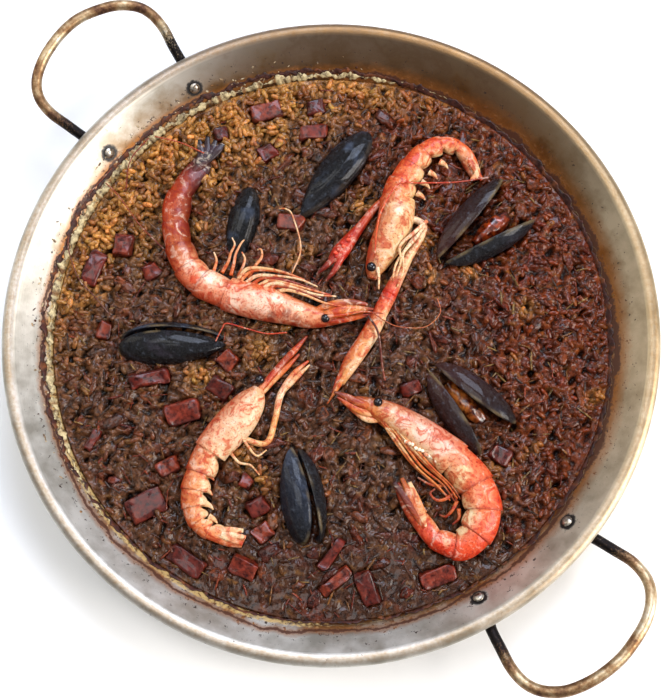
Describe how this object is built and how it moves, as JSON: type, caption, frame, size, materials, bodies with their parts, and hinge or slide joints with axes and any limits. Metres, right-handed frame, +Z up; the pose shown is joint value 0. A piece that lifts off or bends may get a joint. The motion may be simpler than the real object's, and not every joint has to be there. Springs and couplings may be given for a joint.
{
  "type": "seafood paella in its pan",
  "caption": "Round two-handled steel pan of dark seafood rice, topped with whole prawns and langoustines, black mussels and chunks of cuttlefish.",
  "frame": {"origin": "centre of the pan's flat underside, on the surface that it stands on", "axes": "+Z up; +X along the line of the two handles, towards one of them; +Y across"},
  "size_m": [0.54, 0.42, 0.0624],
  "materials": {
    "pan": "polished carbon steel, satin, heat tinted and spotted with baked oil",
    "handles": "bare steel rod burnt to straw, copper and black oxide",
    "rivets": "bright steel",
    "rice": "wet, soft and glossy with stock",
    "shellfish": "cooked shell, satin with wet glints",
    "mussel_shell": "smooth blue-black shell, wet",
    "mussel_meat": "moist and soft",
    "cuttlefish": "stewed flesh, moist, with purple-grey skin"
  },
  "bodies": {
    "root": {"pan": "pan", "handle_1": "handles", "handle_2": "handles", "rivet_1": "rivets", "rivet_2": "rivets", "rivet_3": "rivets", "rivet_4": "rivets", "rice": "rice", "prawn_1": "shellfish", "prawn_2": "shellfish", "langoustine_1": "shellfish", "langoustine_2": "shellfish", "mussel_shut_1": "mussel_shell", "mussel_shut_2": "mussel_shell", "mussel_ajar_1_valve_1": "mussel_shell", "mussel_ajar_1_valve_2": "mussel_shell", "mussel_ajar_2_valve_1": "mussel_shell", "mussel_ajar_2_valve_2": "mussel_shell", "mussel_open_1_valve_1": "mussel_shell", "mussel_open_1_valve_2": "mussel_shell", "mussel_open_2_valve_1": "mussel_shell", "mussel_open_2_valve_2": "mussel_shell", "mussel_open_1_meat": "mussel_meat", "mussel_open_2_meat": "mussel_meat", "cuttlefish_01": "cuttlefish", "cuttlefish_02": "cuttlefish", "cuttlefish_03": "cuttlefish", "cuttlefish_04": "cuttlefish", "cuttlefish_05": "cuttlefish", "cuttlefish_06": "cuttlefish", "cuttlefish_07": "cuttlefish", "cuttlefish_08": "cuttlefish", "cuttlefish_09": "cuttlefish", "cuttlefish_10": "cuttlefish", "cuttlefish_11": "cuttlefish", "cuttlefish_12": "cuttlefish", "cuttlefish_13": "cuttlefish", "cuttlefish_14": "cuttlefish", "cuttlefish_15": "cuttlefish", "cuttlefish_16": "cuttlefish", "cuttlefish_17": "cuttlefish", "cuttlefish_18": "cuttlefish", "cuttlefish_19": "cuttlefish", "cuttlefish_20": "cuttlefish", "cuttlefish_21": "cuttlefish", "cuttlefish_22": "cuttlefish", "cuttlefish_23": "cuttlefish", "cuttlefish_24": "cuttlefish", "cuttlefish_25": "cuttlefish", "cuttlefish_26": "cuttlefish", "cuttlefish_27": "cuttlefish", "cuttlefish_28": "cuttlefish"}
  },
  "joints": []
}
